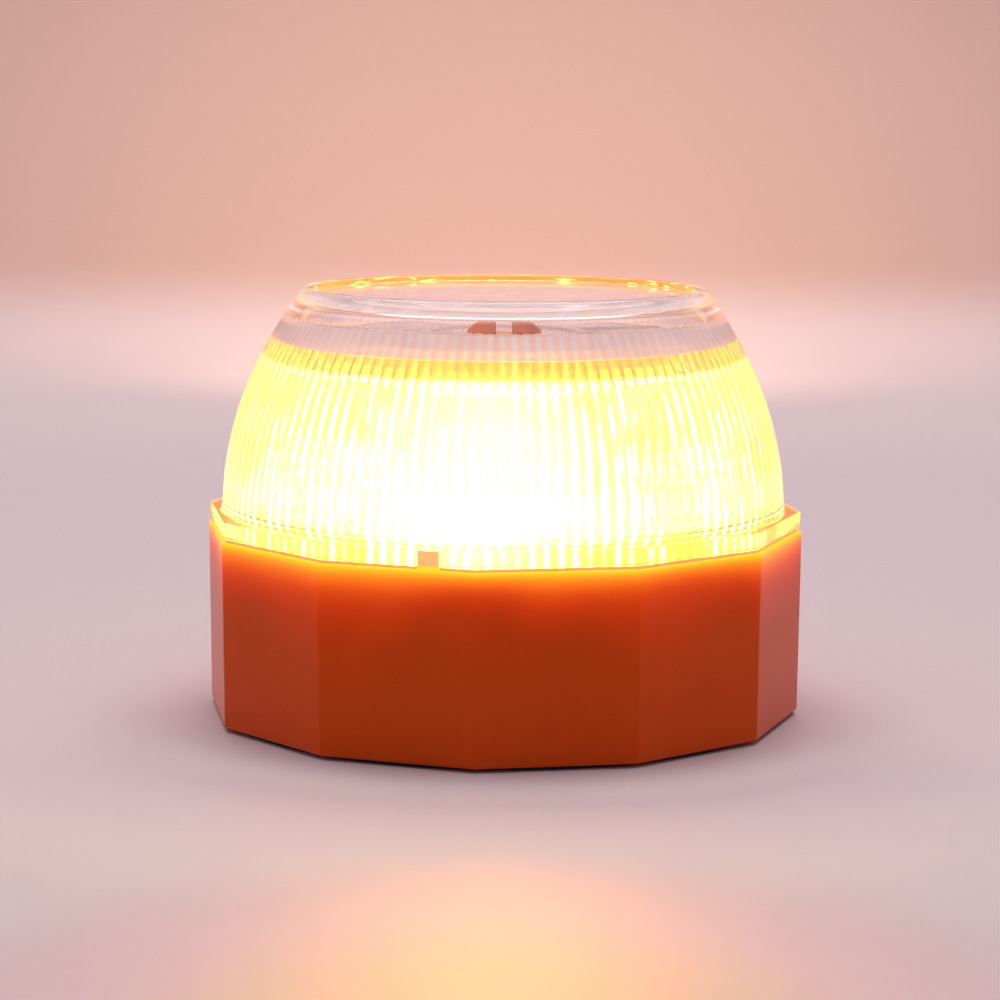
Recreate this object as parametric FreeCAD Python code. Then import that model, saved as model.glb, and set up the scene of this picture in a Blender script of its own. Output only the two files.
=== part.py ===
import FreeCAD, Part
import math
import os

# An electronic road flare: an orange twelve-sided cup with a clear fluted dome, an LED light engine under
# the dome, and a 9 V block battery under the light engine. Millimetres. +Z is up, Z = 0 is the surface that
# the foot ring stands on, and the origin is on the axis. Flat faces of the cup look along X and Y, and the
# push button is on the +Y face.

V = FreeCAD.Vector
OUT = "parts"

# ---- driving dimensions ----
SIDES = 12
STEP = 360.0 / SIDES
CORNER_R_TOP = 48.5            # axis to a corner of the cup at its rim
CORNER_R_BOTTOM = 48.25        # the mould's draft makes the cup narrower at the bottom
APOTHEM_TOP = CORNER_R_TOP * math.cos(math.radians(STEP / 2))
EDGE_ROUND = 1.0               # upright edges of the cup and of the flange
CUP_BOTTOM_Z = 0.6
RIM_Z = 30.2
CAVITY_APOTHEM = 44.2
FLOOR_Z = 4.0                  # inner face of the cup's floor

FOOT_R_IN, FOOT_R_OUT = 42.4, 45.8
FOOT_TOP_Z = 1.6

GASKET_Z = RIM_Z + 0.5         # the flange starts here
FLANGE_CORNER_R = 48.2
FLANGE_Z = 33.4
DOME_TOP_Z = 69.0
DOME_WALL = 2.4
DOME_RIM_ROUND = 0.6
TOP_DISC_R = 30.2              # the dome's flat top lies a little below its rim
TOP_DISC_Z = DOME_TOP_Z - 1.0
TOP_DISC_THICK = 1.9
# radius and height of the dome's outer wall, from the flange to the rim
DOME_OUTLINE = ((45.6, FLANGE_Z), (44.95, 40.8), (43.35, 48.0), (40.65, 55.3), (36.75, 62.6), (32.6, DOME_TOP_Z))
SKIRT_R_IN, SKIRT_R_OUT = 42.2, 44.0
SKIRT_BOTTOM_Z = 27.2
KEY_FACE, KEY_OFFSET, KEY_WIDTH = -120.0, 5.1, 3.3   # face direction in degrees, place along that face

BOARD_Z, BOARD_THICK = 31.0, 1.6
BOARD_R = 41.6
BOARD_TOP_Z = BOARD_Z + BOARD_THICK
LED_COUNT = 12
LED_RING_R = 27.0

REFLECTOR_OUTLINE = ((9.5, 36.0), (12.5, 44.0), (19.5, 51.6), (27.8, 56.6), (34.2, 58.5))
REFLECTOR_WALL = 1.2
CAP_R, CAP_Z, CAP_THICK = 33.7, 60.0, 1.2

POST_R, BARB_R = 4.2, 6.0
POST_SLOT, POST_SLOT_TURN = 2.6, -10.0

CASE_SCREW_RING = 38.5
CASE_SCREW_ANGLES = (45, 135, 225, 315)

DOOR_L, DOOR_W, DOOR_CORNER = 60.4, 34.4, 4.0
DOOR_EAR_X, DOOR_EAR_R = 34.2, 4.6
DOOR_GAP = 0.3
DOOR_Z = 2.2                   # inner face of the door's outer plate
REBATE_Z = 2.8
OPENING_L, OPENING_W = 56.8, 29.4

BATTERY_L, BATTERY_W, BATTERY_H = 46.4, 26.5, 17.5
BATTERY_X, BATTERY_Z = -27.4, 4.4
BATTERY_END_X = BATTERY_X + BATTERY_L
BATTERY_MID_Z = BATTERY_Z + BATTERY_H / 2
STUD_SPACING = 12.7

BAY_X, BAY_Y = 28.4, 13.9      # half length and half width inside the battery bay
BAY_WALL = 1.6
BAY_TOP_Z = 22.4

MAGNET_R, MAGNET_X, MAGNET_Y = 5.9, 13.0, 31.0

BUTTON_Z = 15.5
BUTTON_R = 6.05
BEZEL_R_IN, BEZEL_R_OUT, BEZEL_LIP_R = 6.15, 6.95, 8.6
RECESS_Y = 45.8                # floor of the recess around the button
STEM_R = 2.0
STEM_END_Y = 37.0
GUIDE_Y = 37.9
GUIDE_SEAT_Y = 39.1
BUTTON_FLANGE_Y = 43.15

LEAD_R = 0.7


# ---- helpers ----
def polar(radius, degrees):
    """X and Y of a point at this distance from the axis."""
    return radius * math.cos(math.radians(degrees)), radius * math.sin(math.radians(degrees))


def cyl(radius, z0, z1, x=0.0, y=0.0):
    return Part.makeCylinder(radius, z1 - z0, V(x, y, z0))


def cone(r0, r1, z0, z1, x=0.0, y=0.0):
    return Part.makeCone(r0, r1, z1 - z0, V(x, y, z0))


def ring(r_in, r_out, z0, z1, x=0.0, y=0.0):
    return cyl(r_out, z0, z1, x, y).cut(cyl(r_in, z0 - 1, z1 + 1, x, y))


def box(x0, x1, y0, y1, z0, z1):
    return Part.makeBox(x1 - x0, y1 - y0, z1 - z0, V(x0, y0, z0))


def rod_y(radius, y0, y1, x=0.0, z=BUTTON_Z):
    """A cylinder along Y, as every piece of the push button is."""
    return Part.makeCylinder(radius, y1 - y0, V(x, y0, z), V(0, 1, 0))


def tube_y(r_in, r_out, y0, y1):
    return rod_y(r_out, y0, y1).cut(rod_y(r_in, y0 - 1, y1 + 1))


def turned(shape, degrees):
    """The shape turned about the part's own axis."""
    copy = shape.copy()
    copy.rotate(V(0, 0, 0), V(0, 0, 1), degrees)
    return copy


def fused(shapes):
    first, *others = shapes
    return first.fuse(others).removeSplitter() if others else first


def twelve_sided_outline(radius, z, rounding):
    """A closed twelve-sided wire with flats towards X and Y and rounded corners."""
    half_turn = math.radians(STEP / 2)
    to_tangent = rounding * math.tan(half_turn)
    to_arc = rounding / math.cos(half_turn) - rounding
    corners = [V(*polar(radius, STEP * (k + 0.5)), z) for k in range(SIDES)]
    edges, ends = [], []
    for k, corner in enumerate(corners):
        back = (corners[k - 1] - corner).normalize()
        front = (corners[(k + 1) % SIDES] - corner).normalize()
        inward = (back + front).normalize()
        arc = (corner + back * to_tangent, corner + inward * to_arc, corner + front * to_tangent)
        edges.append(Part.Arc(*arc).toShape())
        ends.append((arc[0], arc[2]))
    for k in range(SIDES):
        edges.append(Part.LineSegment(ends[k][1], ends[(k + 1) % SIDES][0]).toShape())
    return Part.Wire(Part.__sortEdges__(edges))


def twelve_sided(r_low, z_low, r_high, z_high, rounding=EDGE_ROUND):
    outlines = [twelve_sided_outline(r_low, z_low, rounding), twelve_sided_outline(r_high, z_high, rounding)]
    return Part.makeLoft(outlines, True, True)


def upright(edge):
    """True for the edges that run from the bottom of a block to its top."""
    a, b = edge.Vertexes[0].Point, edge.Vertexes[-1].Point
    return abs(a.z - b.z) > 0.1


def level(edge, z):
    return all(abs(v.Point.z - z) < 1e-4 for v in edge.Vertexes)


def rounded_block(r_low, z_low, r_high, z_high, top_round, bottom_round):
    """The twelve-sided block with its upright, top and bottom edges rounded."""
    block = twelve_sided(r_low, z_low, r_high, z_high)
    block = block.makeFillet(top_round, [e for e in block.Edges if level(e, z_high)])
    return block.makeFillet(bottom_round, [e for e in block.Edges if level(e, z_low)])


def rounded_box(x0, x1, y0, y1, z0, z1, radius):
    """A box with rounded upright edges."""
    block = box(x0, x1, y0, y1, z0, z1)
    return block.makeFillet(radius, [e for e in block.Edges if upright(e)])


def face_block(direction, n0, n1, along0, along1, z0, z1):
    """A box on one of the flat faces: n is the distance from the axis, along runs along the face."""
    return turned(box(n0, n1, along0, along1, z0, z1), direction)


def spline(points):
    """A smooth curve in the XZ plane through (radius, height) points, as an edge's geometry."""
    curve = Part.BSplineCurve()
    curve.interpolate([V(r, 0, z) for r, z in points])
    return curve


def offset_points(points, distance):
    """The same outline moved square to itself, towards the axis for a positive distance."""
    curve = spline(points)
    moved = []
    for r, z in points:
        t = curve.tangent(curve.parameter(V(r, 0, z)))[0]
        moved.append((r - distance * t.z, z + distance * t.x))
    return moved


def revolved(curve, others):
    """The solid swept by a closed outline: the curve, then straight lines through the other points."""
    points = [curve.value(curve.LastParameter)] + [V(r, 0, z) for r, z in others]
    points.append(curve.value(curve.FirstParameter))
    edges = [curve.toShape()]
    for a, b in zip(points, points[1:]):
        edges.append(Part.LineSegment(a, b).toShape())
    return Part.Face(Part.Wire(edges)).revolve(V(0, 0, 0), V(0, 0, 1), 360)


def route_tube(points, radius):
    """A wire along straight runs joined by arcs that touch them, each as large as its runs allow."""
    points = [V(*p) for p in points]
    edges, start = [], points[0]
    for before, corner, after in zip(points, points[1:], points[2:]):
        to_back, to_front = (before - corner), (after - corner)
        shorter = min(to_back.Length, to_front.Length)
        turn = math.pi - to_back.getAngle(to_front)
        bend = 0.45 * shorter / math.tan(turn / 2)
        back = corner + to_back.normalize() * bend * math.tan(turn / 2)
        front = corner + to_front.normalize() * bend * math.tan(turn / 2)
        inward = (to_back + to_front).normalize()
        middle = corner + inward * (bend / math.cos(turn / 2) - bend)
        edges.append(Part.LineSegment(start, back).toShape())
        edges.append(Part.Arc(back, middle, front).toShape())
        start = front
        print("bend radius", round(bend, 2))
    edges.append(Part.LineSegment(start, points[-1]).toShape())
    path = Part.Wire(edges)
    section = Part.Wire(Part.makeCircle(radius, points[0], points[1] - points[0]))
    return path.makePipeShell([section], True, False)


# ---- cup ----
def door_outline(grow, z0, z1):
    """The battery door's plan shape, a rounded rectangle with a round ear at each end."""
    plate = rounded_box(-DOOR_L / 2 - grow, DOOR_L / 2 + grow, -DOOR_W / 2 - grow, DOOR_W / 2 + grow,
                        z0, z1, DOOR_CORNER)
    ears = [cyl(DOOR_EAR_R + grow, z0, z1, x) for x in (-DOOR_EAR_X, DOOR_EAR_X)]
    return fused([plate] + ears)


def magnet_places():
    return [(x, y) for x in (-MAGNET_X, MAGNET_X) for y in (-MAGNET_Y, MAGNET_Y)]


def hook_directions():
    """Every other flat face holds one of the lens's snap hooks."""
    return [2 * STEP * k for k in range(SIDES // 2)]


def base_shell():
    cup = rounded_block(CORNER_R_BOTTOM, CUP_BOTTOM_Z, CORNER_R_TOP, RIM_Z, 0.4, 0.5)
    cavity_r = CAVITY_APOTHEM / math.cos(math.radians(STEP / 2))
    cup = cup.cut(twelve_sided(cavity_r, FLOOR_Z, cavity_r, RIM_Z + 1))
    added = [face_block(KEY_FACE, 46.15, APOTHEM_TOP - 0.15, KEY_OFFSET - KEY_WIDTH / 2,
                        KEY_OFFSET + KEY_WIDTH / 2, RIM_Z - 0.4, FLANGE_Z - 0.3)]
    for angle in CASE_SCREW_ANGLES:
        added.append(cyl(4.6, FLOOR_Z - 0.5, 11.9, *polar(CASE_SCREW_RING, angle)))
    for x, y in magnet_places():
        added.append(ring(6.9, 8.1, FLOOR_Z - 0.5, 6.5, x, y))
    for x in (-DOOR_EAR_X, DOOR_EAR_X):
        added.append(cyl(3.5, FLOOR_Z - 0.5, 10.5, x))
    cup = fused([cup] + added)
    removed = [ring(FOOT_R_IN, FOOT_R_OUT, 0, FOOT_TOP_Z),
               door_outline(DOOR_GAP, 0, REBATE_Z),
               box(-OPENING_L / 2, OPENING_L / 2, -OPENING_W / 2, OPENING_W / 2, 0, FLOOR_Z + 1)]
    for angle in CASE_SCREW_ANGLES:
        x, y = polar(CASE_SCREW_RING, angle)
        removed += [cyl(3.1, 0, 7.0, x, y), cyl(1.7, 6, 13, x, y)]
    for x, y in magnet_places():
        removed.append(cyl(6.9, 1.4, 7.0, x, y))
    for x in (-DOOR_EAR_X, DOOR_EAR_X):
        removed.append(cyl(1.5, 0, 9.9, x))
    for direction in hook_directions():
        removed.append(face_block(direction, 43.5, 45.1, -3.3, 3.3, 27.7, 29.6))
    removed += [rod_y(7.0, 43, 48), rod_y(BEZEL_LIP_R + 0.2, RECESS_Y, 48)]
    return cup.cut(removed)


def rubber_foot():
    foot = ring(FOOT_R_IN + 0.05, FOOT_R_OUT - 0.05, 0, FOOT_TOP_Z - 0.05)
    return foot.makeFillet(0.3, [e for e in foot.Edges if level(e, 0)])


def case_screws():
    screws = []
    for angle in CASE_SCREW_ANGLES:
        x, y = polar(CASE_SCREW_RING, angle)
        screw = fused([cyl(2.8, 4.8, 6.95, x, y), cyl(1.45, 6.9, 22.0, x, y)])
        slots = [box(x - 1.7, x + 1.7, y - 0.35, y + 0.35, 4.5, 5.8),
                 box(x - 0.35, x + 0.35, y - 1.7, y + 1.7, 4.5, 5.8)]
        screws.append(screw.cut(slots))
    return Part.makeCompound(screws)


def magnets():
    return Part.makeCompound([cyl(MAGNET_R, 1.45, 5.4, x, y) for x, y in magnet_places()])


def magnet_cups():
    cups = []
    for x, y in magnet_places():
        cups.append(cyl(6.7, 1.45, 6.1, x, y).cut(cyl(MAGNET_R + 0.1, 1.0, 5.45, x, y)))
    return Part.makeCompound(cups)


# ---- battery door ----
def battery_door():
    plate = door_outline(0, CUP_BOTTOM_Z, DOOR_Z)
    plug = rounded_box(-OPENING_L / 2 + 0.3, OPENING_L / 2 - 0.3, -OPENING_W / 2 + 0.3, OPENING_W / 2 - 0.3,
                       DOOR_Z - 0.1, FLOOR_Z, 2.0)
    door = fused([plate, plug])
    removed = []
    for x in (-DOOR_EAR_X, DOOR_EAR_X):
        removed += [cone(3.0, 1.6, CUP_BOTTOM_Z - 0.05, 1.95, x), cyl(1.6, 0, 3, x)]
    grip_pitch = 3.0
    for k in range(5):
        y = grip_pitch * (k - 2)
        removed.append(rounded_box(-9.0, 9.0, y - 0.6, y + 0.6, 0, CUP_BOTTOM_Z + 0.5, 0.59))
    return door.cut(removed)


def door_seal():
    outer = rounded_box(-30.1, 30.1, -17.1, 17.1, DOOR_Z, REBATE_Z, 4.0)
    return outer.cut(rounded_box(-28.6, 28.6, -15.0, 15.0, DOOR_Z - 1, REBATE_Z + 1, 2.0))


def door_screws():
    screws = []
    for x in (-DOOR_EAR_X, DOOR_EAR_X):
        head = cone(2.85, 1.4, 0.7, 1.95, x)
        screw = fused([head, cyl(1.4, 1.9, 9.6, x)])
        slots = [box(x - 1.6, x + 1.6, -0.35, 0.35, 0, 1.3), box(x - 0.35, x + 0.35, -1.6, 1.6, 0, 1.3)]
        screws.append(screw.cut(slots))
    return Part.makeCompound(screws)


# ---- dome ----
def dome_body(inset, top_z):
    """The solid of revolution inside the dome's outer wall, moved in by inset and cut off at top_z."""
    curve = spline(offset_points(DOME_OUTLINE, inset) if inset else DOME_OUTLINE)
    end, start = curve.value(curve.LastParameter), curve.value(curve.FirstParameter)
    body = revolved(curve, [(0, end.z), (0, start.z)])
    return body.common(cyl(60, FLANGE_Z - 5, top_z))


def lens_dome():
    dome = dome_body(0, DOME_TOP_Z).cut(cyl(TOP_DISC_R, TOP_DISC_Z, DOME_TOP_Z + 1))
    dome = dome.makeFillet(DOME_RIM_ROUND, [e for e in dome.Edges if level(e, DOME_TOP_Z)])
    flange = rounded_block(FLANGE_CORNER_R, GASKET_Z, FLANGE_CORNER_R, FLANGE_Z, 0.35, 0.25)
    bead = cone(46.05, 45.6, FLANGE_Z - 0.1, FLANGE_Z + 0.45)
    skirt = cyl(SKIRT_R_OUT, SKIRT_BOTTOM_Z, GASKET_Z + 0.1)
    hooks = [face_block(d, 43.0, 44.9, -3.0, 3.0, 27.9, 29.4) for d in hook_directions()]
    lens = fused([dome, bead, flange, skirt] + hooks)
    inner = dome_body(DOME_WALL, TOP_DISC_Z - TOP_DISC_THICK)
    neck = cyl(SKIRT_R_IN, SKIRT_BOTTOM_Z - 1, FLANGE_Z + 0.1)
    notch = face_block(KEY_FACE, 46.1, 50, KEY_OFFSET - KEY_WIDTH / 2 - 0.15,
                       KEY_OFFSET + KEY_WIDTH / 2 + 0.15, GASKET_Z - 1, FLANGE_Z + 1)
    return lens.cut([inner, neck, notch])


def lens_gasket():
    outer_r = CORNER_R_TOP - 0.7
    gasket = twelve_sided(outer_r, RIM_Z, outer_r, GASKET_Z)
    key = face_block(KEY_FACE, 46.0, 50, KEY_OFFSET - KEY_WIDTH / 2 - 0.1, KEY_OFFSET + KEY_WIDTH / 2 + 0.1,
                     RIM_Z - 1, GASKET_Z + 1)
    return gasket.cut([cyl(SKIRT_R_OUT + 0.4, RIM_Z - 1, GASKET_Z + 1), key])


# ---- light engine ----
def led_places():
    return [polar(LED_RING_R, STEP * k) for k in range(LED_COUNT)]


def board_screw_places():
    return [polar(CASE_SCREW_RING, angle) for angle in (0, 90, 180, 270)]


def led_board():
    board = ring(6.4, BOARD_R, BOARD_Z, BOARD_TOP_Z)
    return board.cut([cyl(1.1, BOARD_Z - 1, BOARD_TOP_Z + 1, x, y) for x, y in board_screw_places()])


def board_screws():
    screws = []
    for x, y in board_screw_places():
        screws.append(fused([cyl(1.8, BOARD_TOP_Z, BOARD_TOP_Z + 1.2, x, y),
                             cyl(0.9, BOARD_Z - 1.7, BOARD_TOP_Z + 0.1, x, y)]))
    return Part.makeCompound(screws)


def leds():
    made = []
    for k, (x, y) in enumerate(led_places()):
        package = box(-1.75, 1.75, -1.75, 1.75, BOARD_TOP_Z, BOARD_TOP_Z + 0.9)
        package.rotate(V(0, 0, 0), V(0, 0, 1), STEP * k)
        package.translate(V(x, y, 0))
        dome = Part.makeSphere(1.3, V(x, y, BOARD_TOP_Z + 0.7)).common(
            cyl(2.0, BOARD_TOP_Z + 0.5, BOARD_TOP_Z + 3, x, y))
        made.append(fused([package, dome]))
    return Part.makeCompound(made)


def light_guide():
    """A clear ring over the LEDs, wider at its top, on six short legs."""
    outer = cone(29.6, 31.0, 35.0, 38.4)
    inner = cone(24.4, 23.0, 35.0, 38.4)
    legs = [cyl(0.9, BOARD_TOP_Z, 35.6, *polar(LED_RING_R, 60 * k + STEP / 2)) for k in range(6)]
    return fused([outer.cut(inner)] + legs)


def reflector():
    """A trumpet that turns the LEDs' light outwards, standing on the board on a short foot."""
    inside = offset_points(REFLECTOR_OUTLINE, REFLECTOR_WALL)
    shape = revolved(spline(REFLECTOR_OUTLINE), [(0, REFLECTOR_OUTLINE[-1][1]), (0, REFLECTOR_OUTLINE[0][1])])
    bowl = revolved(spline(inside), [(0, inside[-1][1]), (0, inside[0][1])])
    foot = cyl(REFLECTOR_OUTLINE[0][0], BOARD_TOP_Z, REFLECTOR_OUTLINE[0][1] + 0.1)
    body = fused([shape, foot])
    lip = ring(32.6, 34.2, REFLECTOR_OUTLINE[-1][1] - 0.3, CAP_Z)
    bore = cyl(inside[0][0], BOARD_TOP_Z - 1, inside[0][1] + 0.1)
    return fused([body.cut([bowl, bore]), lip])


def reflector_cap():
    plate = ring(5.4, CAP_R, CAP_Z, CAP_Z + CAP_THICK)
    rib_top = CAP_Z + CAP_THICK + 0.5
    ribs = []
    for k in range(8):
        ribs.append(turned(box(13.0, 31.0, -0.7, 0.7, CAP_Z + 0.5, rib_top), 45 * k + 22.5))
    return fused([plate, ring(11.8, 13.4, CAP_Z + 0.5, rib_top)] + ribs)


def snap_post():
    """A split post that comes up through the reflector; its two barbs hold the cap down."""
    foot_z = BAY_TOP_Z + BAY_WALL
    cap_top = CAP_Z + CAP_THICK
    stem = cyl(POST_R, foot_z, cap_top + 1.0)
    barb = cone(BARB_R, POST_R - 0.2, cap_top + 0.6, cap_top + 2.2)
    seat = cyl(BARB_R, cap_top + 0.05, cap_top + 0.6)
    foot = cyl(9.0, foot_z, foot_z + 1.6)
    spigot = cyl(2.9, BAY_TOP_Z + 0.1, foot_z + 0.5)
    slot = turned(box(-POST_SLOT / 2, POST_SLOT / 2, -10, 10, 46.0, cap_top + 4), POST_SLOT_TURN)
    return fused([stem, seat, barb, foot, spigot]).cut(slot)


def driver_chips():
    places = ((-12.0, 19.0, 3.0, 3.0, 1.4), (5.0, -22.0, 2.5, 2.0, 1.2), (-21.0, -13.0, 2.0, 2.0, 1.1))
    chips = [box(x - a, x + a, y - b, y + b, BOARD_Z - h, BOARD_Z) for x, y, a, b, h in places]
    return Part.makeCompound(chips)


def driver_coil():
    base = box(-28.0, -17.0, 2.5, 13.5, BOARD_Z - 0.8, BOARD_Z)
    return fused([base, cyl(5.2, BOARD_Z - 4.6, BOARD_Z - 0.5, -22.5, 8.0)])


def capacitors():
    return Part.makeCompound([cyl(2.5, 25.6, BOARD_Z, x, y) for x, y in ((14.0, -21.0), (20.5, -16.5))])


def lead_connector():
    return box(20.6, 26.6, -4.6, 4.6, 27.0, BOARD_Z)


# ---- chassis ----
def chassis():
    out_x, out_y = BAY_X + BAY_WALL, BAY_Y + BAY_WALL
    top = BAY_TOP_Z + BAY_WALL
    kept = [box(-out_x, out_x, -out_y, out_y, FLOOR_Z + 0.1, top),
            ring(35.6, 41.8, 29.0, BOARD_Z)]
    for angle in CASE_SCREW_ANGLES:
        kept.append(cyl(3.4, 12.0, BOARD_Z, *polar(CASE_SCREW_RING, angle)))
        kept.append(turned(box(0, CASE_SCREW_RING, -3, 3, BAY_TOP_Z, top), angle))
    for x0, x1 in ((-9.7, -7.7), (7.7, 9.7)):
        kept.append(box(x0, x1, BAY_Y, 33.0, 8.5, top))
    removed = [box(-BAY_X, BAY_X, -BAY_Y, BAY_Y, 0, BAY_TOP_Z),
               box(BAY_X - 1, out_x + 1, -4.5, 4.5, 0, 18.0),
               cyl(3.0, BAY_TOP_Z - 1, top + 1)]
    for angle in CASE_SCREW_ANGLES:
        removed.append(cyl(1.5, 11, 24.0, *polar(CASE_SCREW_RING, angle)))
    for x, y in board_screw_places():
        removed.append(cyl(1.0, 28, BOARD_Z + 1, x, y))
    removed.append(box(-8.7, 8.7, 30.3, 32.1, 8.9, BAY_TOP_Z))
    return fused(kept).cut(removed)


# ---- battery ----
def battery():
    case = box(BATTERY_X, BATTERY_END_X, -BATTERY_W / 2, BATTERY_W / 2, BATTERY_Z, BATTERY_Z + BATTERY_H)
    return case.makeFillet(1.6, [e for e in case.Edges if abs(e.Vertexes[0].X - e.Vertexes[-1].X) > 1])


def rod_x(radius, x0, x1, y, z=BATTERY_MID_Z):
    return Part.makeCylinder(radius, x1 - x0, V(x0, y, z), V(1, 0, 0))


def battery_terminals():
    """The male stud and the wider female one, on the battery's end."""
    male = fused([rod_x(2.6, BATTERY_END_X, BATTERY_END_X + 2.1, -STUD_SPACING / 2),
                  rod_x(2.9, BATTERY_END_X + 1.4, BATTERY_END_X + 2.1, -STUD_SPACING / 2)])
    female = rod_x(4.1, BATTERY_END_X, BATTERY_END_X + 2.0, STUD_SPACING / 2)
    female = female.cut(rod_x(3.3, BATTERY_END_X + 0.4, BATTERY_END_X + 3, STUD_SPACING / 2))
    return Part.makeCompound([male, female])


def battery_clip():
    x0, x1 = BATTERY_END_X + 0.3, BATTERY_END_X + 6.0
    clip = box(x0, x1, -12.6, 12.6, BATTERY_MID_Z - 6.2, BATTERY_MID_Z + 6.2)
    clip = clip.makeFillet(3.0, [e for e in clip.Edges if abs(e.Vertexes[0].X - e.Vertexes[-1].X) > 1])
    pockets = [rod_x(3.2, x0 - 1, x0 + 2.2, -STUD_SPACING / 2), rod_x(4.4, x0 - 1, x0 + 2.2, STUD_SPACING / 2)]
    return clip.cut(pockets)


def battery_lead(y):
    x0, x1, z1 = BATTERY_END_X + 6.0, 36.4, 28.2
    return route_tube([(x0, y, BATTERY_MID_Z), (x1, y, BATTERY_MID_Z), (x1, y, z1), (26.6, y, z1)], LEAD_R)


# ---- push button ----
def push_button():
    cap = rod_y(BUTTON_R, BUTTON_FLANGE_Y + 1.0, 46.7)
    cap = cap.makeFillet(0.6, [e for e in cap.Edges if all(v.Y > 46.6 for v in e.Vertexes)])
    dish = Part.makeSphere(14.0, V(0, 46.25 + 14.0, BUTTON_Z))
    flange = rod_y(7.2, BUTTON_FLANGE_Y, BUTTON_FLANGE_Y + 1.0)
    stem = rod_y(STEM_R, STEM_END_Y, BUTTON_FLANGE_Y + 0.1)
    groove = tube_y(5.3, BUTTON_R + 1, 44.7, 45.5)
    return fused([cap, flange, stem]).cut([groove, dish])


def button_seal():
    return Part.makeTorus(5.72, 0.37, V(0, 45.1, BUTTON_Z), V(0, 1, 0))


def button_bezel():
    sleeve = tube_y(BEZEL_R_IN, BEZEL_R_OUT, CAVITY_APOTHEM, RECESS_Y + 0.1)
    lip = tube_y(BEZEL_R_IN, BEZEL_LIP_R, RECESS_Y, RECESS_Y + 0.6)
    lip = lip.makeFillet(0.3, [e for e in lip.Edges if all(v.Y > RECESS_Y + 0.5 for v in e.Vertexes)])
    return fused([sleeve, lip])


def button_guide():
    wall = tube_y(7.5, 8.9, GUIDE_Y, CAVITY_APOTHEM - 0.02)
    seat = tube_y(STEM_R + 0.1, 8.0, GUIDE_Y, GUIDE_SEAT_Y)
    return fused([wall, seat])


def button_spring():
    wire_r, mean_r = 0.25, 3.4
    height = BUTTON_FLANGE_Y - GUIDE_SEAT_Y - 2 * wire_r
    helix = Part.makeHelix(height / 4.5, height, mean_r)
    section = Part.Wire(Part.makeCircle(wire_r, V(mean_r, 0, 0), V(0, 1, 0)))
    spring = Part.Wire(helix).makePipeShell([section], True, True)
    spring.rotate(V(0, 0, 0), V(1, 0, 0), -90)
    spring.translate(V(0, GUIDE_SEAT_Y + wire_r, BUTTON_Z))
    return spring


def switch_board():
    return box(-8.5, 8.5, 30.4, 32.0, 9.0, 22.0)


def switch_housing():
    block = box(-3, 3, 32.0, 35.6, BUTTON_Z - 3, BUTTON_Z + 3)
    block = block.makeFillet(0.4, [e for e in block.Edges if abs(e.Vertexes[0].Y - e.Vertexes[-1].Y) > 1])
    return block.cut(rod_y(1.75, 32.8, 36))


def switch_plunger():
    return rod_y(1.6, 34.1, STEM_END_Y - 0.05)


def switch_leads():
    tubes = []
    for x in (-1.5, 1.5):
        tubes.append(route_tube([(x, 30.4, 19.5), (x, 23.4, 19.5), (x, 23.4, BOARD_Z)], 0.5))
    return Part.makeCompound(tubes)


PARTS = {
    "base_shell": base_shell, "rubber_foot": rubber_foot, "case_screws": case_screws,
    "magnets": magnets, "magnet_cups": magnet_cups,
    "battery_door": battery_door, "door_seal": door_seal, "door_screws": door_screws,
    "lens_dome": lens_dome, "lens_gasket": lens_gasket,
    "led_board": led_board, "board_screws": board_screws, "leds": leds, "light_guide": light_guide,
    "reflector": reflector, "reflector_cap": reflector_cap, "snap_post": snap_post,
    "driver_chips": driver_chips, "driver_coil": driver_coil, "capacitors": capacitors,
    "lead_connector": lead_connector, "chassis": chassis,
    "battery": battery, "battery_terminals": battery_terminals, "battery_clip": battery_clip,
    "red_lead": lambda: battery_lead(2.2), "black_lead": lambda: battery_lead(-2.2),
    "push_button": push_button, "button_seal": button_seal, "button_bezel": button_bezel,
    "button_guide": button_guide, "button_spring": button_spring,
    "switch_board": switch_board, "switch_housing": switch_housing, "switch_plunger": switch_plunger,
    "switch_leads": switch_leads,
}


def main():
    os.makedirs(OUT, exist_ok=True)
    for name, make in PARTS.items():
        shape = make()
        shape.exportStep(f"{OUT}/{name}.step")
        size = shape.BoundBox
        print(f"{name:18s} valid {shape.isValid()} solids {len(shape.Solids)} volume {shape.Volume:9.1f}"
              f" z {size.ZMin:6.2f} {size.ZMax:6.2f} r {max(size.XMax, size.YMax):6.2f}")


main()
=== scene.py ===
import math

import bpy
from mathutils import Matrix, Vector


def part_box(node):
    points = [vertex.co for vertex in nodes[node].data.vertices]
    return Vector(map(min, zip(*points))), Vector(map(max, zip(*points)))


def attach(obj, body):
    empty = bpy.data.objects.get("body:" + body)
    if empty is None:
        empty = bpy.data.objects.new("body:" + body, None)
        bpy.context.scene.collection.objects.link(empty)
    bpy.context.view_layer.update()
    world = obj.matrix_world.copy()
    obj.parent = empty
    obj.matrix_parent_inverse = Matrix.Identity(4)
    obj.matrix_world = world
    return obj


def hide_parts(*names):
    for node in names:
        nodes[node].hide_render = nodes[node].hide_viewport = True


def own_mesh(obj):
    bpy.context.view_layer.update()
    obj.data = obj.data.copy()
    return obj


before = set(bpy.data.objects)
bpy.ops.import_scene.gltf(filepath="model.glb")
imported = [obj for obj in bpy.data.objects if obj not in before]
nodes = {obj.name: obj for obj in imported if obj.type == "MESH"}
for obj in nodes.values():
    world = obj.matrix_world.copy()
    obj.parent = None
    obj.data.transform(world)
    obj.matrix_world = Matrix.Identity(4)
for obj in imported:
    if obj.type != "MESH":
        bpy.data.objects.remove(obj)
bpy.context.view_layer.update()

MM = 0.001
RIM_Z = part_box("lens_gasket")[0].z
PHOTO_AZIMUTH, PHOTO_ELEVATION = math.radians(-10.07), math.radians(8.104)
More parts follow.
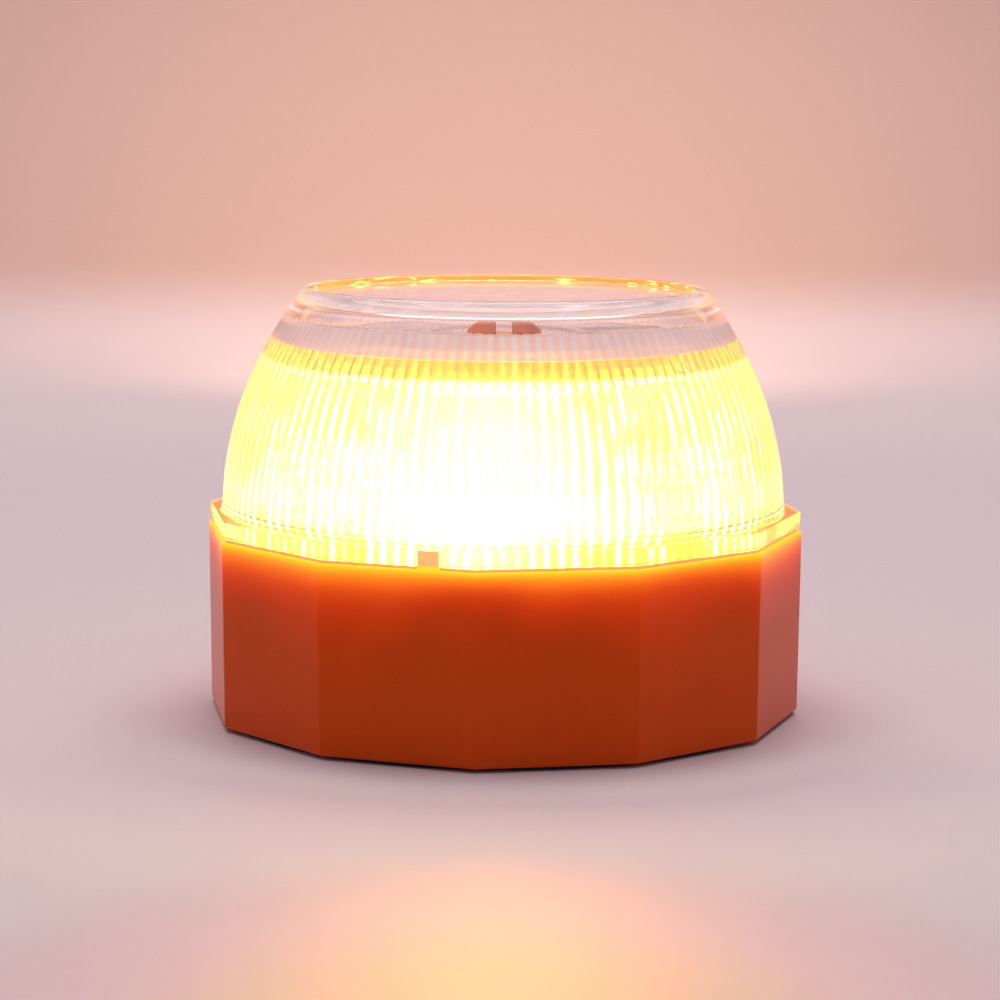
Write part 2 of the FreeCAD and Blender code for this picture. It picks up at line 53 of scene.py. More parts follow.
# the level direction from the object towards the photograph's camera
BACK = Vector((math.sin(PHOTO_AZIMUTH), -math.cos(PHOTO_AZIMUTH), 0))


def add(name, data):
    """A new object in the scene."""
    made = bpy.data.objects.new(name, data)
    bpy.context.scene.collection.objects.link(made)
    return made


# ---------------------------------------------------------------- material nodes
class Look:
    """One material: a Principled shader and the nodes that feed it."""

    def __init__(self, name, **sockets):
        self.material = bpy.data.materials.new(name)
        self.material.use_nodes = True
        self.tree = self.material.node_tree
        self.bsdf = self.tree.nodes["Principled BSDF"]
        self.place = self.tree.nodes.new("ShaderNodeTexCoord").outputs["Object"]
        for socket, value in sockets.items():
            self.put(socket.replace("_", " "), value)

    def put(self, socket, value):
        target = self.bsdf.inputs[socket]
        if isinstance(value, bpy.types.NodeSocket):
            self.tree.links.new(value, target)
        else:
            target.default_value = value

    def node(self, kind, inputs, output=0, **settings):
        made = self.tree.nodes.new(kind)
        for key, value in settings.items():
            setattr(made, key, value)
        for key, value in inputs.items():
            if isinstance(value, bpy.types.NodeSocket):
                self.tree.links.new(value, made.inputs[key])
            else:
                made.inputs[key].default_value = value
        return made.outputs[output]

    def math(self, operation, a, b=0.0, c=0.0):
        return self.node("ShaderNodeMath", {0: a, 1: b, 2: c}, operation=operation)

    def product(self, first, *others):
        for other in others:
            first = self.math("MULTIPLY", first, other)
        return first

    def axis(self, name):
        return self.node("ShaderNodeSeparateXYZ", {0: self.place}, output="XYZ".index(name))

    def rise(self, value, low, high, start=0.0, end=1.0):
        """start below low, end above high, and a smooth step between."""
        return self.node("ShaderNodeMapRange", {0: value, 1: low, 2: high, 3: start, 4: end},
                         interpolation_type="SMOOTHSTEP")

    def band(self, low, high, soft=0.15):
        """1 between two heights in millimetres, 0 outside them."""
        z = self.axis("Z")
        return self.product(self.rise(z, (low - soft) * MM, (low + soft) * MM),
                            self.rise(z, (high + soft) * MM, (high - soft) * MM))

    def noise(self, scale, detail=3.0, stretch=(1, 1, 1)):
        place = self.node("ShaderNodeMapping", {"Vector": self.place, "Scale": stretch})
        return self.node("ShaderNodeTexNoise", {"Vector": place, "Scale": scale, "Detail": detail})

    def between(self, factor, low, high):
        """A colour between two, by factor."""
        mix = self.tree.nodes.new("ShaderNodeMix")
        mix.data_type = "RGBA"
        for socket, value in ((mix.inputs[0], factor), (mix.inputs[6], low), (mix.inputs[7], high)):
            if isinstance(value, bpy.types.NodeSocket):
                self.tree.links.new(value, socket)
            else:
                socket.default_value = value
        return mix.outputs[2]

    def bump(self, height, strength, distance):
        self.put("Normal", self.node("ShaderNodeBump", {"Height": height, "Strength": strength,
                                                        "Distance": distance}))

    def turn(self):
        """The angle about the object's axis, in turns from -0.5 to 0.5."""
        return self.math("DIVIDE", self.math("ARCTAN2", self.axis("Y"), self.axis("X")), math.tau)

    def vector(self, operation, other, output=0):
        """The place against another vector."""
        return self.node("ShaderNodeVectorMath", {0: self.place, 1: other}, output, operation=operation)

    def radius(self):
        x, y = self.axis("X"), self.axis("Y")
        return self.math("SQRT", self.math("ADD", self.product(x, x), self.product(y, y)))

    def wave(self, turn, count, phase=0.0):
        """0 to 1 and back, count times round the axis."""
        angle = self.math("MULTIPLY_ADD", turn, count * math.tau, phase * math.tau)
        return self.math("MULTIPLY_ADD", self.math("COSINE", angle), 0.5, 0.5)


def rgba(r, g, b):
    return (r, g, b, 1.0)


def moulded(name, low, high, roughness, grain, depth):
    """Moulded plastic or rubber: two close colours in slow patches, and a fine grain."""
    look = Look(name)
    look.put("Base Color", look.between(look.noise(90, 2), low, high))
    fine = look.noise(grain, 4)
    look.put("Roughness", look.rise(fine, 0.3, 0.7, roughness - 0.05, roughness + 0.05))
    look.bump(fine, 0.5, depth)
    return look


def metal(name, colour, roughness):
    """Bare metal: two close tones and a fine grain."""
    look = Look(name, Metallic=1.0)
    brushed = look.noise(900, 4)
    look.put("Base Color", look.between(brushed, rgba(*(c * 0.82 for c in colour)), rgba(*colour)))
    look.put("Roughness", look.rise(brushed, 0.3, 0.7, roughness - 0.06, roughness + 0.08))
    look.bump(brushed, 0.15, 0.00004)
    return look


GLOW = (1.0, 0.62, 0.11)


def orange_plastic(name, lit):
    look = moulded(name, rgba(0.80, 0.086, 0.0010), rgba(0.85, 0.093, 0.0012), 0.40, 2600, 0.00003)
    look.put("Specular IOR Level", 0.13)
    look.put("Sheen Weight", 0.50)
    look.put("Sheen Roughness", 0.27)
    look.put("Sheen Tint", rgba(1.0, 0.80, 0.76))
    if lit:
        # emission that stands for the dome's light in the plastic, redder and weaker further down
        depth = look.math("MAXIMUM", look.math("SUBTRACT", RIM_Z, look.axis("Z")), 0.0)
        depth = look.product(depth, look.rise(look.noise(45, 1), 0.3, 0.7, 1.2, 0.8))
        channels = {}
        for index, (strength, reach) in enumerate(((1.3, 3.0), (0.72, 1.15), (0.026, 1.6))):
            fall = look.math("EXPONENT", look.math("DIVIDE", depth, -reach * MM))
            channels[index] = look.product(fall, strength)
        key = look.rise(look.axis("Z"), RIM_Z + 0.4 * MM, RIM_Z + 0.7 * MM)
        glow = look.node("ShaderNodeCombineXYZ", channels)
        look.put("Emission Color", look.between(key, glow, rgba(0.85, 0.47, 0.18)))
        look.put("Emission Strength", 1.0)
    return look


# ---------------------------------------------------------------- lens
FLUTES = 120
TOP_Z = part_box("lens_dome")[1].z
FLANGE_Z = 33.4 * MM
FLANGE_CORNER_R = 48.2 * MM
GASKET_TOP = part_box("lens_gasket")[1].z
WALL = 2.4 * MM
OUTLINE = [(45.6, 33.4), (44.95, 40.8), (43.35, 48.0), (40.65, 55.3), (36.75, 62.6), (32.6, 69.0)]
DISC_R, DISC_Z, DISC_THICK = 30.2 * MM, 68.0 * MM, 1.9 * MM
KEY_TURN, KEY_OFFSET, KEY_WIDTH = math.radians(-120.0), 5.1 * MM, 3.6 * MM
NOTCH_R, NOTCH_FLOOR_R = 46.8 * MM, 46.1 * MM
FLUTE_DEPTH = 0.32 * MM
FLUTE_TOP, FLUTE_END, FLUTE_ROUND = 63.6 * MM, 34.9 * MM, 0.9 * MM
SHALLOW_Z, SHALLOW_OVER, SHALLOWER = 58.6 * MM, 1.6 * MM, 0.62
SLICES_PER_FLUTE = 8


def smooth_curve(points, count):
    """count points on a smooth curve through the given ones (Catmull-Rom)."""
    head = tuple(2 * a - b for a, b in zip(points[0], points[1]))
    tail = tuple(2 * a - b for a, b in zip(points[-1], points[-2]))
    p = [head, *points, tail]
    made = []
    for step in range(count):
        t = step / (count - 1) * (len(points) - 1)
        k = min(int(t), len(points) - 2)
        t -= k
        made.append(tuple(
            0.5 * (2 * p[k + 1][i] + (p[k + 2][i] - p[k][i]) * t
                   + (2 * p[k][i] - 5 * p[k + 1][i] + 4 * p[k + 2][i] - p[k + 3][i]) * t * t
                   + (3 * p[k + 1][i] - p[k][i] - 3 * p[k + 2][i] + p[k + 3][i]) * t ** 3)
            for i in range(2)))
    return made


def offset(points, distance):
    """The same line, moved sideways by a distance."""
    made = []
    for k, (r, z) in enumerate(points):
        (r0, z0), (r1, z1) = points[max(k - 1, 0)], points[min(k + 1, len(points) - 1)]
        length = math.hypot(r1 - r0, z1 - z0)
        made.append((r - (z1 - z0) / length * distance, z + (r1 - r0) / length * distance))
    return made


def twelve_sided(angle, corner_radius, rounding):
    """Distance from the axis to a dodecagon with rounded corners, flats towards X and Y."""
    half = math.radians(15)
    face = math.remainder(angle, 2 * half)
    flat = corner_radius * math.cos(half) / math.cos(face)
    side = half - abs(face)
    centre = corner_radius - rounding / math.cos(half)
    if side < math.asin(min(1.0, rounding * math.sin(half) / flat)):
        along = centre * math.cos(side)
        across = centre * math.sin(side)
        return along + math.sqrt(max(rounding ** 2 - across ** 2, 0))
    return flat


def lens_angles():
    """Places round the axis: some to each flute, and two close pairs at the sides of the key's notch."""
    count = FLUTES * SLICES_PER_FLUTE
    angles = [math.tau * k / count for k in range(count)]
    for side in (-0.5, 0.5):
        edge = math.atan2(KEY_OFFSET + side * KEY_WIDTH, NOTCH_R)
        for nudge in (-0.0002, 0.0002):
            angles.append((KEY_TURN + edge + nudge) % math.tau)
    return sorted(angles)


def in_notch(angle):
    across = math.tan(math.remainder(angle - KEY_TURN, math.tau)) * NOTCH_R
    return abs(across - KEY_OFFSET) < KEY_WIDTH / 2


def flute(angle, z):
    """How far a rib stands in from the wall: convex, with a rounded lower end, shallower near its top."""
    u = abs(2 * ((angle * FLUTES / math.tau) % 1.0) - 1)
    end = FLUTE_END + FLUTE_ROUND * u * u
    fade = min(max((z - end) / (0.5 * MM), 0), 1) * min(max((FLUTE_TOP - z) / (0.9 * MM), 0), 1)
    shallow = min(max((z - SHALLOW_Z) / SHALLOW_OVER, 0), 1)
    return FLUTE_DEPTH * (1 - SHALLOWER * shallow) * (1 - u * u) * fade ** 0.5


def lens_rows():
    """The lens's closed section, from the middle of its top, down the outside and back up the inside.
    Each row is a function from an angle to (distance from the axis, height)."""
    def plain(r, z):
        return lambda angle: (r, z)

    def flange_edge(inset, z):
        def place(angle):
            r = twelve_sided(angle, FLANGE_CORNER_R, 1 * MM) - inset
            return (min(r, NOTCH_FLOOR_R - inset * 0.2) if in_notch(angle) else r), z
        return place

    def rounded(start, tip, end):
        for k in range(7):
            t = k / 6
            yield plain(*((1 - t) ** 2 * a + 2 * t * (1 - t) * b + t * t * c
                          for a, b, c in zip(start, tip, end)))

    def fluted(r, z):
        return lambda angle: (r - flute(angle, z), z)

    wall = [(r * MM, z * MM) for r, z in smooth_curve(OUTLINE, 61)]
    rows = [plain(r * MM, DISC_Z) for r in (10, 20, 28, 29.7)]
    rows += rounded((DISC_R - 0.25 * MM, DISC_Z), (DISC_R, DISC_Z), (DISC_R, DISC_Z + 0.25 * MM))
    rows += rounded((DISC_R, TOP_Z - 0.5 * MM), (DISC_R, TOP_Z), (DISC_R + 0.6 * MM, TOP_Z))
    rows += rounded((32.0 * MM, TOP_Z), (32.6 * MM, TOP_Z), wall[-5])
    rows += [plain(r, z) for r, z in reversed(wall[3:-5:2])]
    rows += [plain(r * MM, z * MM) for r, z in ((45.62, 33.9), (45.72, 33.6), (46.0, 33.44))]
    rows += [flange_edge(0.55 * MM, FLANGE_Z), flange_edge(0.3 * MM, FLANGE_Z),
             flange_edge(0.08 * MM, FLANGE_Z - 0.08 * MM), flange_edge(0, FLANGE_Z - 0.3 * MM),
             flange_edge(0, GASKET_TOP + 0.22 * MM), flange_edge(0.22 * MM, GASKET_TOP)]
    rows += [plain(r * MM, z) for r, z in (
        (45.4, GASKET_TOP), (44.0, GASKET_TOP), (44.0, 29.0 * MM), (43.8, 27.2 * MM),
        (42.4, 27.2 * MM), (42.2, 27.4 * MM), (42.2, 31.0 * MM), (42.25, 33.0 * MM), (42.6, 33.6 * MM))]
    plate = DISC_Z - DISC_THICK
    inner = [(r, z) for r, z in offset(wall, WALL) if 34.0 * MM < z < plate - 0.5 * MM]
    fine = smooth_curve(inner, 2 * len(inner))
    rows += [fluted(r, z) for r, z in fine]
    corner_r = fine[-1][0]
    rows += [plain(corner_r - 0.25 * MM, plate - 0.18 * MM), plain(corner_r - 0.6 * MM, plate)]
    rows += [plain(r * MM, plate) for r in (28, 20, 10)]
    return rows


def turned_mesh(name, rows, angles):
    """A closed mesh from rows of places round the axis, with a middle point at each end."""
    verts, faces = [], []
    for row in rows:
        for angle in angles:
            r, z = row(angle)
            verts.append((r * math.cos(angle), r * math.sin(angle), z))
    count = len(angles)
    for k in range(len(rows) - 1):
        for i in range(count):
            j = (i + 1) % count
            faces.append((k * count + i, (k + 1) * count + i, (k + 1) * count + j, k * count + j))
    for k, flip in ((0, False), (len(rows) - 1, True)):
        middle = len(verts)
        verts.append((0, 0, rows[k](0)[1]))
        for i in range(count):
            pair = (k * count + i, k * count + (i + 1) % count)
            faces.append((middle, *(reversed(pair) if flip else pair)))
    mesh = bpy.data.meshes.new(name)
    mesh.from_pydata(verts, [], faces)
    mesh.shade_smooth()
    mesh.set_sharp_from_angle(angle=math.radians(35))
    return add(name, mesh)


def wall_radius(look, z):
    """The radius of the lens's outer wall at a height, near enough to tell its inner face from its outer."""
    (foot_r, foot_z), (top_r, top_z) = OUTLINE[0], OUTLINE[-1]
    high = look.math("MAXIMUM", look.math("SUBTRACT", z, foot_z * MM), 0.0)
    drop = look.product(look.math("POWER", high, 2.0), (foot_r - top_r) / (top_z - foot_z) ** 2 / MM)
    return look.math("SUBTRACT", foot_r * MM, drop)


def rib_glow(look, z, ridge, facing):
    """Painted amber streaks all round that differ from rib to rib, and a bright ragged painted core of light.
    The streaks are strongest and the core lies on the side that faces the photograph's camera."""
    patch = look.rise(look.noise(58, 2.5, (1, 1, 0.55)), 0.42, 0.52)
    fleck = look.rise(look.noise(330, 2, (1, 1, 0.45)), 0.36, 0.60, 0.12, 1.1)
    low = look.rise(z, 57 * MM, 44 * MM, 0.6, 1.7)
    streak = look.product(look.rise(ridge, 0.45, 0.95), patch, fleck, low)
    dots = look.product(look.rise(ridge, 0.3, 0.8), look.band(56.2, 56.8))
    front = look.rise(facing, 8 * MM, 36 * MM, 0.3, 1.0)
    bright = look.product(look.math("MAXIMUM", streak, dots), front)
    core = look.vector("DISTANCE", BACK * 0.044 + Vector((-0.004, 0, 0.043)), output=1)
    ragged = look.math("MULTIPLY_ADD", look.noise(150, 3), 14 * MM, core)
    return look.math("ADD", look.math("MULTIPLY_ADD", bright, 10.0, 0.45),
                     look.rise(ragged, 30 * MM, 16 * MM, 0.0, 5.0))


def lens_look():
    look = Look("lens_clear", Roughness=0.0, IOR=1.49)
    z, radius = look.axis("Z"), look.radius()
    facing = look.vector("DOT_PRODUCT", BACK, output=1)
    ridge = look.wave(look.turn(), FLUTES, 0.5)
    past_wall = look.math("SUBTRACT", radius, wall_radius(look, z))
    inside = look.rise(past_wall, -1.4 * MM, -1.9 * MM)
    outer = look.rise(past_wall, -0.9 * MM, -0.5 * MM)

    # the inner face, with painted light: a glow up to the reflector's edge, a painted orange band just under
    # it, stronger on the side towards BACK, and a fainter painted pale glow in the clear band above it, which
    # is less see-through
    lit = look.rise(z, 59.95 * MM, 59.75 * MM)
    strong = look.rise(z, 57.3 * MM, 57.0 * MM, 0.06, 1.0)
    orange_glow_band = look.product(look.rise(z, 56.8 * MM, 57.7 * MM), lit, inside,
                        look.rise(facing, 22 * MM, 40 * MM, 0.35, 1.0),
                        look.rise(ridge, 0.0, 0.8, 1.0, 0.75))
    clear = look.product(look.band(59.95, 63.6, 0.1), inside)
    # the skirt inside the flange, with a painted amber glow and one painted glint under each rib
    skirt = look.product(look.rise(z, 33.5 * MM, 33.2 * MM), look.rise(radius, 43.0 * MM, 42.6 * MM))
    glint = look.math("MULTIPLY_ADD", look.math("POWER", ridge, 3.0),
                      look.rise(look.noise(260, 2), 0.4, 0.6, 0.1, 0.8), 0.36)
    # painted light on the two faces of the top disc, on the step round it with painted glints in dashes, and
    # on the outer wall at the sides under the rim
    plate = look.product(look.band(65.85, 66.25, 0.08), look.rise(radius, 28 * MM, 31 * MM, 0.1, 1.0))
    disc = look.product(look.band(67.9, 68.02, 0.02), look.rise(radius, 30.1 * MM, 29.9 * MM))
    step = look.product(look.rise(z, 67.98 * MM, 68.1 * MM), look.rise(radius, 30.9 * MM, 30.3 * MM))
    painted_glints = look.product(step, look.rise(look.noise(700, 2, (0.45, 0.45, 2.5)), 0.56, 0.66, 0.0, 1.4))
    sides = look.rise(look.math("ABSOLUTE", facing), 24 * MM, 6 * MM)
    shoulder_glow = look.product(look.band(63.9, 68.4), outer, sides)

    # the colours of the painted glow: amber, pale pink to blue in the clear band, orange on the band under
    # the reflector, the shoulder and the step, and pinkish on the disc's faces
    pale = look.between(look.rise(ridge, 0.35, 0.9), rgba(0.85, 0.42, 0.50), rgba(0.70, 0.74, 1.0))
    hue = look.between(clear, rgba(*GLOW), pale)
    for part, colour in ((orange_glow_band, rgba(1.0, 0.50, 0.20)), (shoulder_glow, rgba(1.0, 0.38, 0.14)),
                         (step, rgba(1.0, 0.52, 0.11)),
                         (look.math("MAXIMUM", plate, disc), rgba(0.95, 0.72, 0.78))):
        hue = look.between(part, hue, colour)
    look.put("Emission Color", hue)

    # how strong the painted glow is: the rib glow, the skirt's glow and painted glints, the step's glow and
    # painted glints, and fainter painted glows on the other bands
    glow = look.product(lit, strong, rib_glow(look, z, ridge, facing), inside)
    strength = look.product(look.math("MULTIPLY_ADD", skirt, glint, glow), 0.9)
    strength = look.math("ADD", strength, look.math("MULTIPLY_ADD", step, 0.28, painted_glints))
    for part, amount in ((clear, 0.24), (orange_glow_band, 0.30), (plate, 0.14), (disc, 0.09), (shoulder_glow, 0.26)):
        strength = look.math("MULTIPLY_ADD", part, amount, strength)
    look.put("Emission Strength", strength)

    # the painted bands let less light through, so that their painted glow shows
    through = 1.0
    for part, amount in ((clear, -0.72), (orange_glow_band, -0.97), (step, -0.85), (skirt, -0.8)):
        through = look.math("MULTIPLY_ADD", part, amount, through)
    look.put("Transmission Weight", through)

    glass = look.between(look.noise(60, 2), rgba(0.97, 0.95, 0.94), rgba(1, 0.985, 0.975))
    # an amber tint where the painted glow is, and a painted bluish tint over the clear band
    tint = look.between(look.product(lit, inside), glass, rgba(1.0, 0.82, 0.42))
    amber = look.math("MAXIMUM", look.math("MAXIMUM", orange_glow_band, skirt), step)
    tint = look.between(amber, tint, rgba(0.95, 0.52, 0.18))
    look.put("Base Color", look.between(clear, tint, rgba(0.72, 0.72, 0.92)))
    flange = look.product(look.rise(z, 33.6 * MM, 33.5 * MM), look.rise(radius, 45.6 * MM, 45.9 * MM))
    look.put("Roughness", look.product(flange, 0.28))
    return look


# ---------------------------------------------------------------- light engine
def reflector_look():
    look = Look("reflector_lit", Metallic=0.6, Roughness=0.25)
    z, turn = look.axis("Z"), look.turn()
    metal_tone = look.between(look.noise(300, 2), rgba(0.46, 0.45, 0.44), rgba(0.56, 0.55, 0.54))
    # the lip is paler and pinkish, with a weak painted glow
    lip = look.rise(z, 58.15 * MM, 58.25 * MM)
    look.put("Base Color", look.between(lip, metal_tone, rgba(0.80, 0.62, 0.58)))
    # painted light of the LEDs on the reflector: stronger low down, in twelve beams and patches, brightest in
    # a band at its edge, and faint above it
    base = look.rise(z, 55 * MM, 38 * MM, 1.0, 2.2)
    beams = look.math("MULTIPLY_ADD", look.wave(turn, 12), 0.7, 0.35)
    edge = look.product(look.rise(z, 53.2 * MM, 53.8 * MM), look.rise(z, 55.1 * MM, 54.7 * MM))
    top = look.rise(z, 54.7 * MM, 55.3 * MM, 1.0, 0.10)
    patch = look.rise(look.noise(130, 2), 0.35, 0.62, 0.45, 1.1)
    strength = look.math("MULTIPLY_ADD", edge, 4.0, look.product(base, beams, top, patch))
    strength = look.product(strength, look.math("SUBTRACT", 1.0, lip))
    look.put("Emission Color", look.between(lip, rgba(*GLOW), rgba(1.0, 0.55, 0.42)))
    look.put("Emission Strength", look.math("MULTIPLY_ADD", lip, 0.35, strength))
    return look


def guide_look():
    look = Look("light_guide_lit", Roughness=0.15, IOR=1.49)
    look.put("Transmission Weight", 0.3)
    look.put("Base Color", look.between(look.noise(200), rgba(0.95, 0.85, 0.7), rgba(1, 0.95, 0.85)))
    # painted glow in the guide, brighter in twelve places round it
    look.put("Emission Color", rgba(*GLOW))
    look.put("Emission Strength", look.math("MULTIPLY_ADD", look.wave(look.turn(), 12), 5.0, 2.0))
    return look


def led_look():
    look = Look("led_lit", Roughness=0.2)
    look.put("Base Color", look.between(look.noise(500), rgba(0.9, 0.55, 0.1), rgba(1, 0.7, 0.2)))
    look.put("Emission Color", rgba(*GLOW))
    look.put("Emission Strength", look.rise(look.axis("Z"), 33.3 * MM, 34.2 * MM, 4.0, 16.0))
    return look


def board_look():
    look = Look("board_white_mask", Roughness=0.35)
    look.put("Base Color", look.between(look.noise(200), rgba(0.82, 0.80, 0.77), rgba(0.9, 0.89, 0.87)))
    # painted glow of the LEDs' light on the board, brighter towards the middle
    near = look.rise(look.radius(), 42 * MM, 28 * MM, 1.2, 4.0)
    look.put("Emission Color", rgba(*GLOW))
    look.put("Emission Strength", near)
    return look


def cap_look():
    look = moulded("silver_cap", rgba(0.80, 0.72, 0.73), rgba(0.88, 0.80, 0.81), 0.3, 1500, 0.00002)
    # painted glow in patches, which stands for light falling on the cap
    look.put("Emission Color", rgba(1.0, 0.62, 0.52))
    look.put("Emission Strength", look.rise(look.noise(55, 2), 0.3, 0.7, 0.05, 0.24))
    return look


def post_look():
    look = moulded("post_orange", rgba(0.50, 0.13, 0.06), rgba(0.60, 0.17, 0.08), 0.4, 1500, 0.00002)
    # painted orange glow in patches
    look.put("Emission Color", rgba(1.0, 0.26, 0.13))
    look.put("Emission Strength", look.rise(look.noise(120, 2), 0.3, 0.7, 0.14, 0.26))
    return look


def gasket_look():
    look = moulded("gasket_silicone", rgba(0.6, 0.18, 0.05), rgba(0.7, 0.24, 0.08), 0.6, 2000, 0.00002)
    # painted orange glow, uneven
    look.put("Emission Color", rgba(1.0, 0.38, 0.12))
    look.put("Emission Strength", look.math("MULTIPLY_ADD", look.noise(200), 0.5, 0.5))
    return look


# ---------------------------------------------------------------- dressing
def dress(names, look):
    for name in names:
        slots = nodes[name].data.materials
        for k in range(max(len(slots), 1)):
            if len(slots):
                slots[k] = look.material
            else:
                slots.append(look.material)


lens = turned_mesh("dome_lens", lens_rows(), lens_angles())
lens.data.materials.append(lens_look().material)
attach(lens, "beacon")
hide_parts("lens_dome")

dress(["base_shell"], orange_plastic("orange_cup", True))
dress(["battery_door"], orange_plastic("orange_door", False))
dress(["reflector"], reflector_look())
dress(["light_guide"], guide_look())
dress(["leds"], led_look())
dress(["led_board"], board_look())
dress(["reflector_cap"], cap_look())
dress(["snap_post"], post_look())
dress(["lens_gasket"], gasket_look())
black = moulded("black_plastic", rgba(0.022, 0.022, 0.025), rgba(0.035, 0.035, 0.038), 0.45, 1800, 0.00003)
dress(["chassis", "battery_clip", "push_button", "button_bezel", "button_guide", "switch_housing",
       "driver_chips", "driver_coil"], black)
rubber = moulded("black_rubber", rgba(0.018, 0.018, 0.02), rgba(0.03, 0.03, 0.033), 0.75, 1200, 0.00006)
dress(["rubber_foot", "door_seal", "button_seal"], rubber)
dress(["case_screws", "door_screws", "board_screws", "magnet_cups"], metal("zinc", (0.62, 0.62, 0.63), 0.38))
dress(["magnets", "battery_terminals", "capacitors"], metal("nickel_plate", (0.72, 0.71, 0.68), 0.22))

# a copy of the return spring with its own mesh, in spring wire, on the beacon's body
spring = add("return_spring", nodes["button_spring"].data.copy())
spring.data.materials.clear()
spring.data.materials.append(metal("spring_wire", (0.5, 0.5, 0.52), 0.35).material)
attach(spring, "beacon")
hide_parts("button_spring")
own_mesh(spring)

dress(["battery"],
      moulded("battery_jacket", rgba(0.05, 0.055, 0.07), rgba(0.08, 0.085, 0.1), 0.3, 1500, 0.00002))
dress(["switch_board"],
      moulded("green_mask", rgba(0.02, 0.12, 0.05), rgba(0.03, 0.16, 0.07), 0.35, 1500, 0.00001))
dress(["lead_connector", "switch_plunger"],
      moulded("ivory_nylon", rgba(0.72, 0.66, 0.5), rgba(0.8, 0.75, 0.6), 0.45, 1500, 0.00002))
dress(["red_lead", "switch_leads"],
      moulded("red_pvc", rgba(0.5, 0.015, 0.01), rgba(0.6, 0.02, 0.015), 0.4, 1500, 0.00002))
dress(["black_lead"],
      moulded("black_pvc", rgba(0.02, 0.02, 0.02), rgba(0.03, 0.03, 0.03), 0.4, 1500, 0.00002))


# ---------------------------------------------------------------- room
def floor_look():
    """Pale paper, with zones of other tones where the photograph has them: painted light and shade round the
    beacon, a paler far floor and a peach backdrop.
    """
    look = Look("floor_paper", Roughness=0.55)
    paper = look.between(look.noise(6, 2), rgba(0.765, 0.73, 0.77), rgba(0.80, 0.765, 0.805))
    # painted light: warmer where the beacon's glow falls in front of it
    away = look.vector("DISTANCE", BACK * 0.17, output=1)
    paper = look.between(look.rise(away, 0.085, 0.055), paper, rgba(0.78, 0.67, 0.70))
    paper = look.between(look.rise(away, 0.050, 0.02), paper, rgba(0.80, 0.71, 0.53))
    # painted light and shade towards the beacon's front: a cooler zone, then a paler zone close by, which
    # lightens the shadow next to its foot
    facing = look.vector("DOT_PRODUCT", BACK, output=1)
    front = look.rise(facing, 0.015, 0.055)
    cool = look.product(look.rise(look.radius(), 0.115, 0.075), front)
    paper = look.between(cool, paper, rgba(0.70, 0.68, 0.79))
    close = look.product(look.rise(look.radius(), 0.070, 0.056), front)
    paper = look.between(close, paper, rgba(0.88, 0.89, 0.93))
    # the far floor and the backdrop
    paper = look.between(look.rise(facing, -0.25, -0.45), paper, rgba(0.86, 0.81, 0.83))
    high = look.rise(look.axis("Z"), 0.0, 0.03)
    look.put("Base Color", look.between(high, paper, rgba(0.72, 0.52, 0.455)))
    return look


def sweep():
    """A pale floor that curves up into a backdrop behind the object."""
    bend_from, bend_r, top = 0.6, 0.25, 1.6
    profile = [(-1.5, 0.0), (-0.6, 0.0), (0.2, 0.0), (bend_from, 0.0)]
    for k in range(1, 13):
        a = math.radians(90 * k / 12)
        profile.append((bend_from + bend_r * math.sin(a), bend_r - bend_r * math.cos(a)))
    profile.append((bend_from + bend_r, top))
    columns = (-2.0, -1.0, 0.0, 1.0, 2.0)
    ahead = -BACK
    across = Vector((-ahead.y, ahead.x, 0))
    verts = [ahead * d + across * side + Vector((0, 0, h)) for d, h in profile for side in columns]
    faces = []
    for k in range(len(profile) - 1):
        for i in range(len(columns) - 1):
            a = k * len(columns) + i
            faces.append((a, a + 1, a + 1 + len(columns), a + len(columns)))
    mesh = bpy.data.meshes.new("floor")
    mesh.from_pydata(verts, [], faces)
    mesh.shade_smooth()
    mesh.materials.append(floor_look().material)
    made = add("floor", mesh)


def aimed(data, place, aim):
    made = add(data.name, data)
    made.location = place
    made.rotation_euler = (Vector(aim) - Vector(place)).to_track_quat("-Z", "Y").to_euler()


def area_light(name, place, aim, width, height, power, colour):
    data = bpy.data.lights.new(name, "AREA")
    data.shape, data.size, data.size_y = "RECTANGLE", width, height
    data.energy, data.color = power, colour
    aimed(data, place, aim)


def spot_light(name, place, aim, degrees, power, colour, size):
    data = bpy.data.lights.new(name, "SPOT")
    data.energy, data.color = power, colour
    data.spot_size, data.spot_blend, data.shadow_soft_size = math.radians(degrees), 1.0, size
    aimed(data, place, aim)


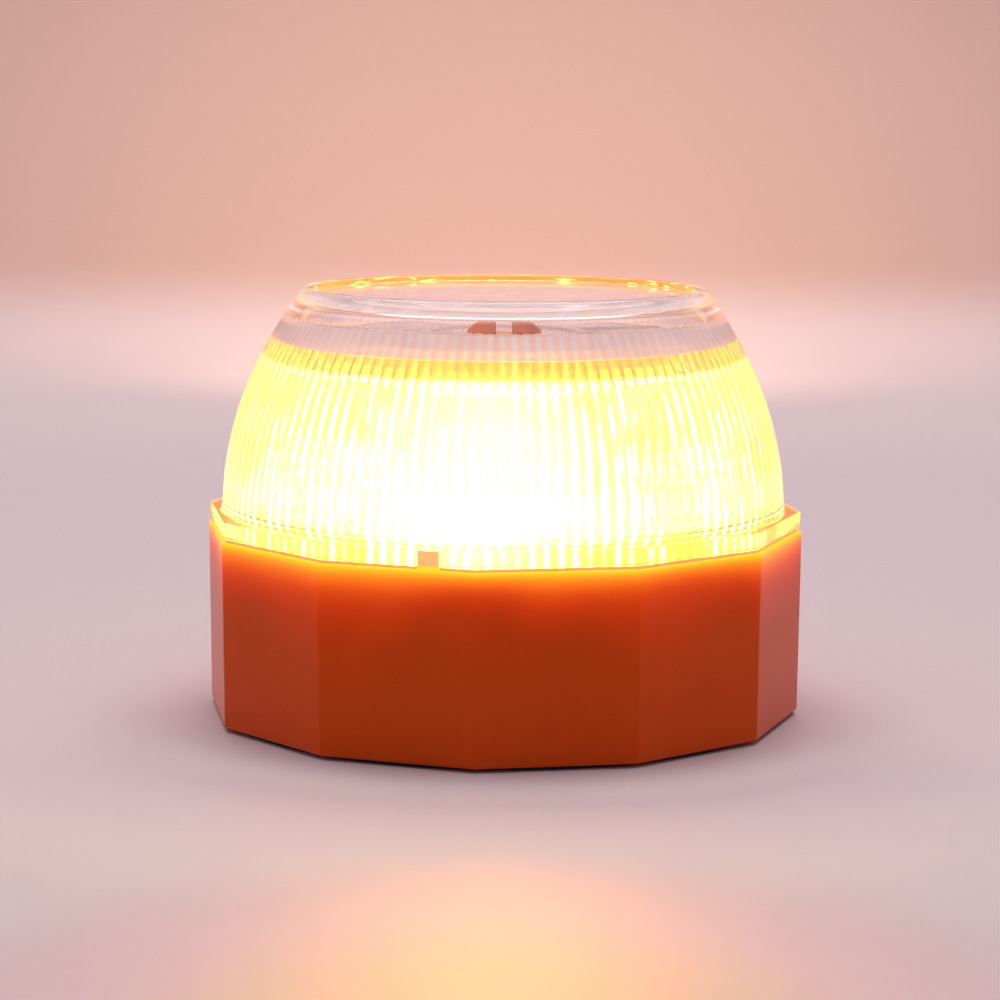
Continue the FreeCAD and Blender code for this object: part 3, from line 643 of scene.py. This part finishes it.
def studio_world():
    """A pale surround, dimmer on the photograph camera's side."""
    world = bpy.data.worlds.new("studio")
    bpy.context.scene.world = world
    world.use_nodes = True
    tree = world.node_tree
    background = tree.nodes["Background"]
    background.inputs[0].default_value = rgba(0.98, 0.84, 0.88)
    way = tree.nodes.new("ShaderNodeVectorMath")
    way.operation = "DOT_PRODUCT"
    way.inputs[1].default_value = -BACK
    tree.links.new(tree.nodes.new("ShaderNodeTexCoord").outputs["Generated"], way.inputs[0])
    dim = tree.nodes.new("ShaderNodeMapRange")
    for socket, value in (("From Min", -0.9), ("From Max", 0.5), ("To Min", 0.12), ("To Max", 0.5)):
        dim.inputs[socket].default_value = value
    tree.links.new(way.outputs["Value"], dim.inputs["Value"])
    tree.links.new(dim.outputs[0], background.inputs[1])


def lights():
    ahead = -BACK
    area_light("softbox_top", Vector((0, 0, 1.1)) + ahead * 0.28, (0, 0, 0), 1.1, 0.9, 8.0, (1.0, 0.88, 0.92))
    # two spots stand for the beacon's own light, on the floor in front of it and on the backdrop
    front = BACK * 0.055 + Vector((0, 0, 0.045))
    spot_light("glow_front", front, BACK * 0.30, 72, 0.26, (1.0, 0.21, 0.015), 0.01)
    behind = ahead * 0.45 + Vector((0, 0, 0.09))
    spot_light("glow_back", behind, ahead * 0.80 + Vector((0, 0, 0.02)), 130, 2.4, (1.0, 0.60, 0.38), 0.08)


def camera():
    aim, distance, roll = Vector((-0.0005, 0.0001, 0.03432)), 0.4885, math.radians(0.323)
    data = bpy.data.cameras.new("camera")
    data.lens, data.sensor_width = 108.0, 36.0
    level = math.cos(PHOTO_ELEVATION)
    back = Vector((math.sin(PHOTO_AZIMUTH) * level, -math.cos(PHOTO_AZIMUTH) * level,
                   math.sin(PHOTO_ELEVATION)))
    look = (-back).to_track_quat("-Z", "Y").to_matrix().to_4x4() @ Matrix.Rotation(roll, 4, "Z")
    made = add("camera", data)
    made.matrix_world = Matrix.Translation(aim + back * distance) @ look
    bpy.context.scene.camera = made


sweep()
studio_world()
lights()
camera()
bpy.context.scene.view_settings.view_transform = "Standard"
# light runs down inside the dome's wall in many small reflections
bpy.context.scene.cycles.glossy_bounces = 12
